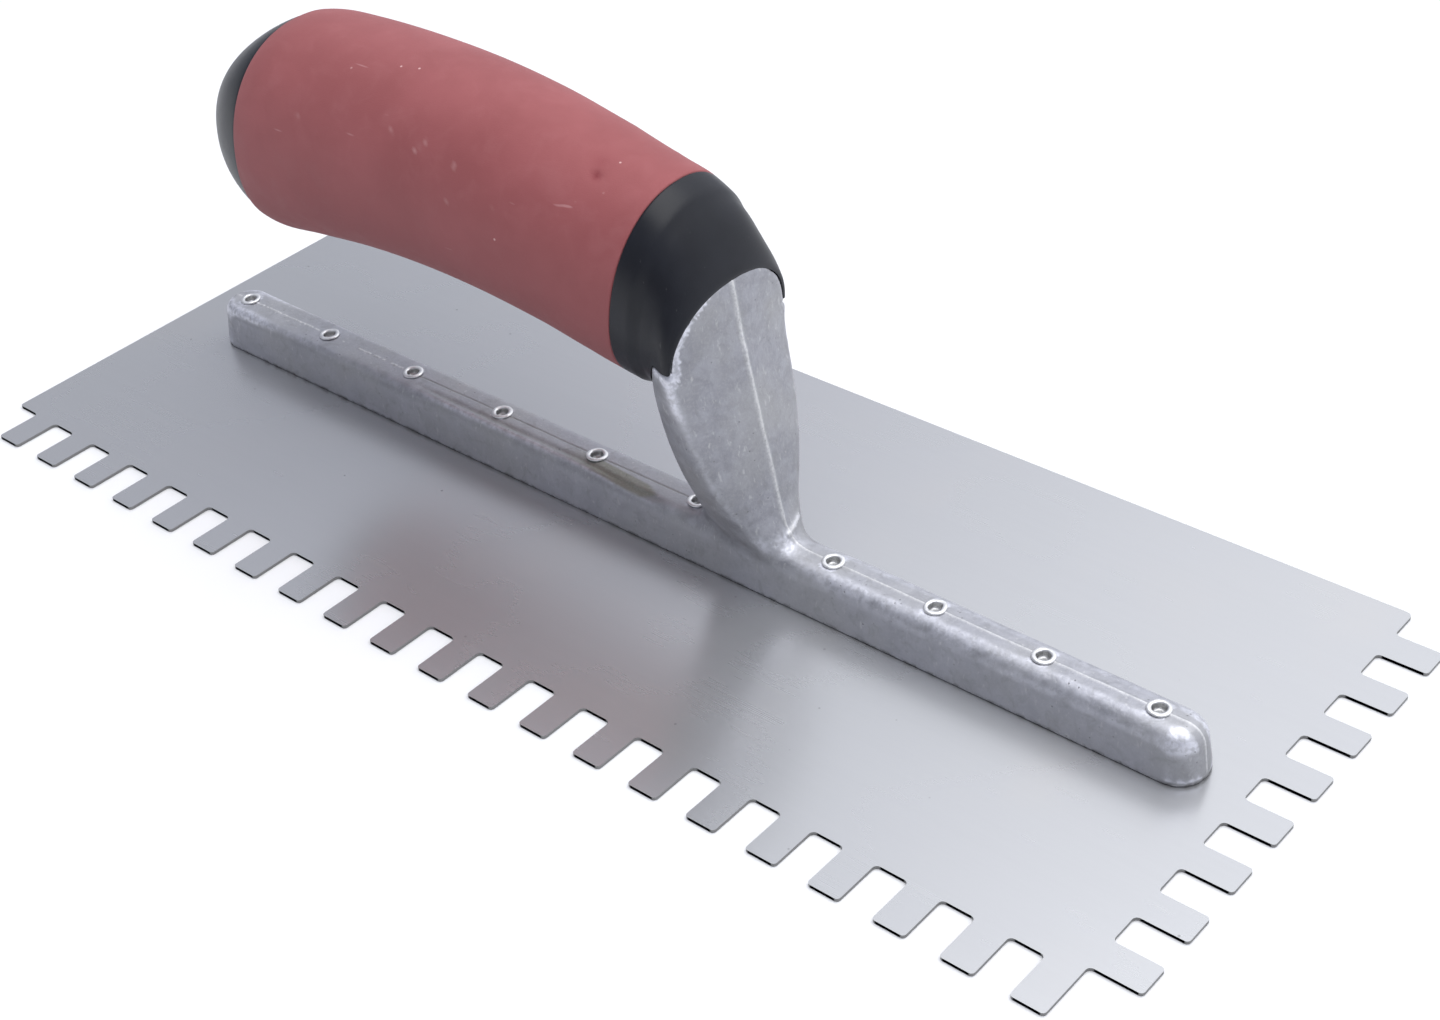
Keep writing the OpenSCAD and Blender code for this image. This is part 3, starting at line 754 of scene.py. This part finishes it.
def mounting():
    """The casting: a melted skin with a parting line, a trough, a rib and uneven faces."""
    obj = casting_mesh()
    mesh = obj.data
    pairs = edge_pairs(mesh)
    co = coordinates(mesh) / MM
    x, z = co[:, 0], co[:, 2]
    foot = ease(z, 6.5, 9.5) * ease(z, 24, 16) * ease(x, 10, 14) * ease(x, 48, 40)
    arm = ease(z, 11, 15) * ease(z, 49.5, 46)
    keep = ease(z, 0.7, 1.3) * ease(near_rivet(co), 1.9, 2.4)
    co = relax(co, pairs, 4, 0.5 * keep)
    co = relax(co, pairs, 45, 0.5 * np.maximum(foot, 0.7 * arm) * keep)
    head = ease(z, 49, 51) * ease(x, 23.0, 23.5)
    co = relax(co, pairs, 34, 0.5 * head)
    from_axis = (co - (LIP_X, 0, 50)) * (0, 1, 1)
    distance = np.linalg.norm(from_axis, axis=1)
    rim = head * ease(distance, 8, 11) * ease(z, 50, 53)
    co = co + from_axis / np.maximum(distance, 1)[:, None] * (0.22 * rim)[:, None]
    set_coordinates(mesh, co * MM)

    wanted = (np.abs(co[:, 1]) < LINE_STRIP) & (outward(co, vertex_normals(mesh)) > 0.1)
    refine_middle(mesh, wanted)

    co = coordinates(mesh) / MM
    normal = vertex_normals(mesh)
    pairs = edge_pairs(mesh)
    shown = outward(co, normal)
    x, y, z = co.T

    # The parting line wavers a little about the middle
    height, width = line_height(co)
    shift = 0.10 * noise_field(co * (1, 0, 1), 7, 1)
    profile = np.exp(-((y - shift) / width) ** 2) * shown
    lift = height * profile

    # A soft trough in the top, on the near side of the line, and a stain that ends rounded
    centre = -1.9 - 1.0 * ease(x, -16, 4)
    middle = centre - 0.7 + 0.15 * noise_field(co * (1, 0, 0), 12, 6)
    along = ease(x, -66, -50) * ease(x, 9, 4) * ease(z, 9, 10)
    trough = np.exp(-((y - middle) / 0.55) ** 2) * along
    lift -= 0.30 * trough
    lift += 0.07 * np.exp(-((y - middle + 1.4) / 0.6) ** 2) * along
    end = 1.4 + np.clip(1 - np.abs(y - centre) / 2.0, 0, 1) * 4
    beside = ease(np.abs(y - centre), 1.8, 1.4)
    stain = ease(x, -22, -8) * ease(x, end, end - 0.5) * beside * along

    # A short rib across the arm's foot, where two inserts of the mould meet
    rib = np.exp(-((z - 12.9 - 0.25 * y) / 0.45) ** 2) * ease(y, -1.2, -0.4) * ease(y, 4.8, 3.8)
    rib *= ease(x, 31, 33)
    lift += 0.32 * rib

    # The skin of a casting is never quite flat
    lift += shown * (0.07 * noise_field(co, 9, 2) + 0.035 * noise_field(co, 2.6, 5))
    bend = ease(z, 0.9, 2.5)
    co = fitted_rim(co + normal * (lift * bend)[:, None])
    set_coordinates(mesh, co * MM)

    normal = vertex_normals(mesh)
    # edge: convex edges, lightened in the material as wear and in part as a painted highlight, weaker
    # in some places, plus the painted highlights on the head's rim and the foot
    bulge = np.einsum("ij,ij->i", co - neighbour_mean(co, pairs), normal)
    for _ in range(2):
        bulge = neighbour_mean(bulge[:, None], pairs)[:, 0]
    edge = np.clip(bulge / 0.03, 0, 1) * ease(co[:, 2], 1.0, 2.0)
    edge *= 1 - 0.5 * ease(x, 18, 10) * ease(x, -112, -100)
    edge *= 1 - 0.5 * ease(z, 46, 38) * ease(z, 12, 16)
    edge *= 1 - 0.7 * ease(z, 56, 59)
    edge *= 1 - 0.7 * ease(z, 46, 49) * ease(y, 2, 5)
    edge = np.maximum(edge, painted_rim_and_foot_highlight(co, normal))
    store(mesh, "edge", edge)
    store(mesh, "parting_line", np.clip(np.where(height > 0, profile, 0) + rib, 0, 1))
    # Darker in the trough, along the seam's groove and at the stain's rounded end
    rim = np.exp(-((x - end) / 0.5) ** 2) * beside * along
    dark_lines = 0.5 * trough + 1.0 * rim + np.where(height < 0, 0.8 * profile, 0)
    store(mesh, "groove", np.clip(dark_lines, 0, 1))
    store(mesh, "stain", stain)
    mesh.shade_smooth()
    return finish_piece(obj, casting_material(), "cast_aluminium", "mounting")


# ---------------------------------------------------------------- rivets

# The rivet's outline from the middle of its head to the bottom of its hollow, in mm: radius, height
RIVET_OUTLINE = [
    (0.05, 0.0), (2.5, 0.0), (2.66, 0.05), (1.62, 0.6), (1.6, 2.0), (1.6, 10.3), (1.7, 10.62),
    (2.08, 10.64), (2.16, 10.74), (2.15, 10.88), (2.05, 11.0), (1.9, 11.07), (1.72, 11.1),
    (1.52, 11.09), (1.36, 11.0), (1.27, 10.86), (1.22, 10.6), (1.18, 10.2), (1.12, 9.9), (0.9, 9.72),
    (0.5, 9.75), (0.05, 9.8),
]
RIVET_SIDES = 64
# The rows of the outline where its rolled ring and its hollow begin, and the top of the ring
ROLLED_FROM = 7
HOLLOW_FROM = 14
RIVET_TOP = 11.1


def rivet(number, x):
    """A semi-tubular rivet, whose end was rolled over by hand tools: no two rings are alike."""
    rng = random.Random(number)
    phase = rng.uniform(0, 6.28)
    squareness = rng.uniform(0.0, 0.02)
    rings = []
    shade = []
    for i, (radius, height) in enumerate(RIVET_OUTLINE):
        ring = []
        for k in range(RIVET_SIDES):
            t = k * 2 * math.pi / RIVET_SIDES
            wobble = 0.0
            if i >= ROLLED_FROM:
                wobble = 0.03 * noise.noise(Vector((math.cos(t), math.sin(t), number * 3.1)))
                wobble += squareness * math.cos(4 * t + phase)
            if i >= HOLLOW_FROM:
                wobble += 0.02 * math.cos(5 * t + phase)
                wobble += 0.09 * noise.noise(Vector((math.cos(t), math.sin(t), number * 1.7)))
            r = radius * (1 + wobble)
            tilt = 0.03 * math.cos(t - phase) * r if i >= ROLLED_FROM else 0.0
            ring.append((x + r * math.cos(t), r * math.sin(t), min(height + tilt, RIVET_TOP)))
            shade.append(float(ease(i, HOLLOW_FROM, HOLLOW_FROM + 2)))
        rings.append(np.array(ring))
    obj = skin("rivet_%02d_rolled" % number, rings)
    store(obj.data, "hollow", shade + [0.0, 1.0])
    obj.data.set_sharp_from_angle(angle=math.radians(50))
    return obj


def rivets():
    material = rivet_material()
    for i, x in enumerate(RIVETS_X):
        finish_piece(rivet(i + 1, x), material, "rivet_steel", "rivet_%02d" % (i + 1))


# ---------------------------------------------------------------- pieces that keep their CAD meshes

def repaint(node, material):
    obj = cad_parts[node]
    obj.data.materials.clear()
    obj.data.materials.append(material)
    return obj


def kept_nodes():
    """Paints the CAD's own pieces, and breaks the blade's edges a little with a modifier."""
    blade = repaint("blade", blade_material())
    edges = blade.modifiers.new("broken_edges", "BEVEL")
    edges.width = 0.06 * MM
    edges.segments = 2
    edges.limit_method = "ANGLE"
    edges.angle_limit = math.radians(40)
    repaint("handle_core", core_material())
    steel = bolt_material()
    repaint("handle_bolt", steel)
    repaint("bolt_washer", steel)


# ---------------------------------------------------------------- floor, light and camera

# Half the floor's side, and how far it lies under the blade, in metres
FLOOR_SIZE = 14.0
FLOOR_GAP = 0.0001


def floor():
    size = FLOOR_SIZE
    z = -FLOOR_GAP
    mesh = bpy.data.meshes.new("floor")
    mesh.from_pydata([(-size, -size, z), (size, -size, z), (size, size, z), (-size, size, z)],
                     [], [(0, 1, 2, 3)])
    obj = add_object("floor", mesh)
    g = Graph("pale_floor", Metallic=0.0, Specular_IOR_Level=0.1)
    paper = g.noise(30, 3, 0.5)
    colour = g.mix(paper, grey(0.85), grey(0.87))
    obj.data.materials.append(g.out(Base_Color=colour, Roughness=g.remap(paper, 0, 1, 0.85, 0.95)))


def panel(name, place, target, width, height, power):
    """A softbox: a flat area light at place that faces target."""
    data = bpy.data.lights.new(name, "AREA")
    data.shape = "RECTANGLE"
    data.size = width
    data.size_y = height
    data.energy = power
    obj = bpy.data.objects.new(name, data)
    bpy.context.scene.collection.objects.link(obj)
    obj.location = place
    obj.rotation_euler = (Vector(target) - Vector(place)).to_track_quat("-Z", "Y").to_euler()


# The studio's brightness from its dim front to its bright back: how far a direction lies towards
# the bright side, from 0 to 1, and the strength there
STUDIO_STEPS = [(0.25, 0.32), (0.62, 0.48), (0.70, 0.55), (0.77, 0.74), (0.85, 1.22), (0.92, 1.36)]
STUDIO_BRIGHT_SIDE = (0.35, 0.55, 0.75)
STUDIO_TONE_DIM = (0.93, 0.97, 1.11)
STUDIO_TONE_BRIGHT = (0.965, 0.985, 1.04)


def surroundings():
    """A pale, slightly cool studio that is brightest behind and above."""
    world = bpy.data.worlds.new("studio")
    bpy.context.scene.world = world
    world.use_nodes = True
    tree = world.node_tree
    place = tree.nodes.new("ShaderNodeTexCoord")
    towards = tree.nodes.new("ShaderNodeVectorMath")
    towards.operation = "DOT_PRODUCT"
    towards.inputs[1].default_value = Vector(STUDIO_BRIGHT_SIDE).normalized()
    share = tree.nodes.new("ShaderNodeMapRange")
    share.inputs["From Min"].default_value = -1
    ramp = tree.nodes.new("ShaderNodeValToRGB")
    steps = ramp.color_ramp.elements
    for i, (position, strength) in enumerate(STUDIO_STEPS):
        step = steps[i] if i < 2 else steps.new(position)
        step.position = position
        dim = float(ease(strength, 1.3, 0.6))
        step.color = [strength * (dim * a + (1 - dim) * b)
                      for a, b in zip(STUDIO_TONE_DIM, STUDIO_TONE_BRIGHT)] + [1.0]
    tree.links.new(place.outputs["Generated"], towards.inputs[0])
    tree.links.new(towards.outputs["Value"], share.inputs["Value"])
    tree.links.new(share.outputs["Result"], ramp.inputs["Fac"])
    tree.links.new(ramp.outputs["Color"], tree.nodes["Background"].inputs["Color"])


def lights():
    """One large softbox overhead; the rest of the light comes from the surroundings."""
    panel("overhead", (0.15, 0.05, 1.0), (0, 0, 0.03), 1.0, 0.8, 6.0)


# The photo's viewpoint: place in metres, turns in degrees, lens and sensor in mm
CAMERA_PLACE = (0.25382, -0.24813, 0.25936)
CAMERA_AZIMUTH = 43.45
CAMERA_ELEVATION = 36.02
CAMERA_ROLL = -4.88
CAMERA_LENS = 57.24
CAMERA_SENSOR = 36


def camera():
    """The camera at the photo's viewpoint."""
    data = bpy.data.cameras.new("camera")
    data.lens = CAMERA_LENS
    data.sensor_width = CAMERA_SENSOR
    data.clip_start = 0.01
    obj = bpy.data.objects.new("camera", data)
    bpy.context.scene.collection.objects.link(obj)
    turn = (Matrix.Rotation(math.radians(CAMERA_AZIMUTH), 4, "Z")
            @ Matrix.Rotation(math.radians(90 - CAMERA_ELEVATION), 4, "X")
            @ Matrix.Rotation(math.radians(CAMERA_ROLL), 4, "Z"))
    obj.matrix_world = Matrix.Translation(CAMERA_PLACE) @ turn
    bpy.context.scene.camera = obj


camera()
floor()
surroundings()
lights()
kept_nodes()
grip_sleeve()
front_collar()
end_cap()
mounting()
rivets()
bpy.context.scene.view_settings.view_transform = "Standard"
